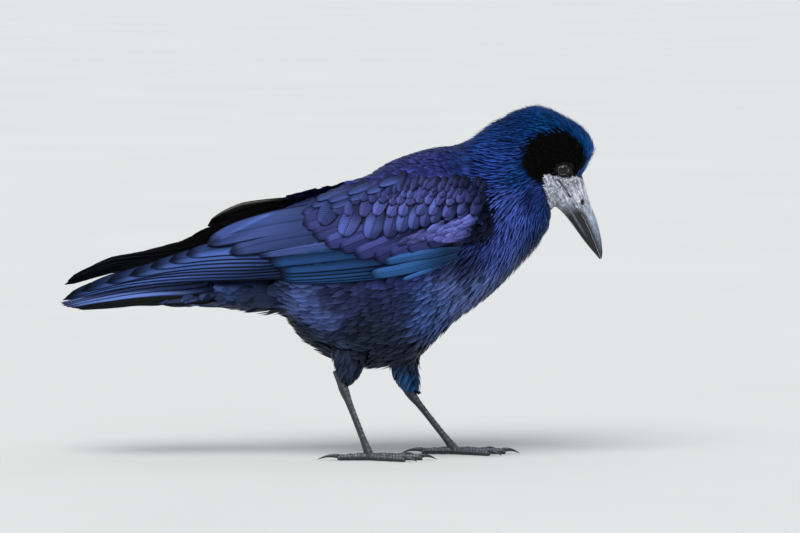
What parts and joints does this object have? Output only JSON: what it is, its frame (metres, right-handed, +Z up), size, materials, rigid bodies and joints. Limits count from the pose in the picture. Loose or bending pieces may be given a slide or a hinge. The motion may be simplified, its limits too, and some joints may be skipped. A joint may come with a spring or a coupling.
{
  "type": "rook",
  "caption": "Life-size still model of an adult rook standing in mid-stride, its head bent so the bare-faced bill points down, wings folded over a closed tail.",
  "frame": {"origin": "on the ground under the middle of the bird's bounding box", "axes": "+X forwards, the way the bill points; +Y to the bird's left; +Z up"},
  "size_m": [0.3714, 0.1048, 0.2416],
  "materials": {
    "plumage": "overlapping black body feathers with a blue-violet gloss",
    "flight_feathers": "smooth black vanes with a blue to teal gloss",
    "bare_skin": "dry, whitish, warty skin",
    "bill": "slate-grey horn with a dull polish",
    "eye": "dark, wet gloss",
    "leg_scales": "grey-black scutes with a low sheen",
    "claws": "black horn"
  },
  "bodies": {
    "root": {"trunk": "plumage", "neck": "plumage", "head": "plumage", "face": "bare_skin", "bill_upper": "bill", "bill_lower": "bill", "eye_L": "eye", "eye_R": "eye", "wing_coverts_L": "plumage", "wing_coverts_R": "plumage", "wing_secondaries_L": "flight_feathers", "wing_secondaries_R": "flight_feathers", "wing_primaries_L": "flight_feathers", "wing_primaries_R": "flight_feathers", "tail_base": "plumage", "tail": "flight_feathers", "thigh_L": "plumage", "thigh_R": "plumage", "tarsus_L": "leg_scales", "tarsus_R": "leg_scales", "foot_L": "leg_scales", "foot_R": "leg_scales"}
  },
  "joints": []
}
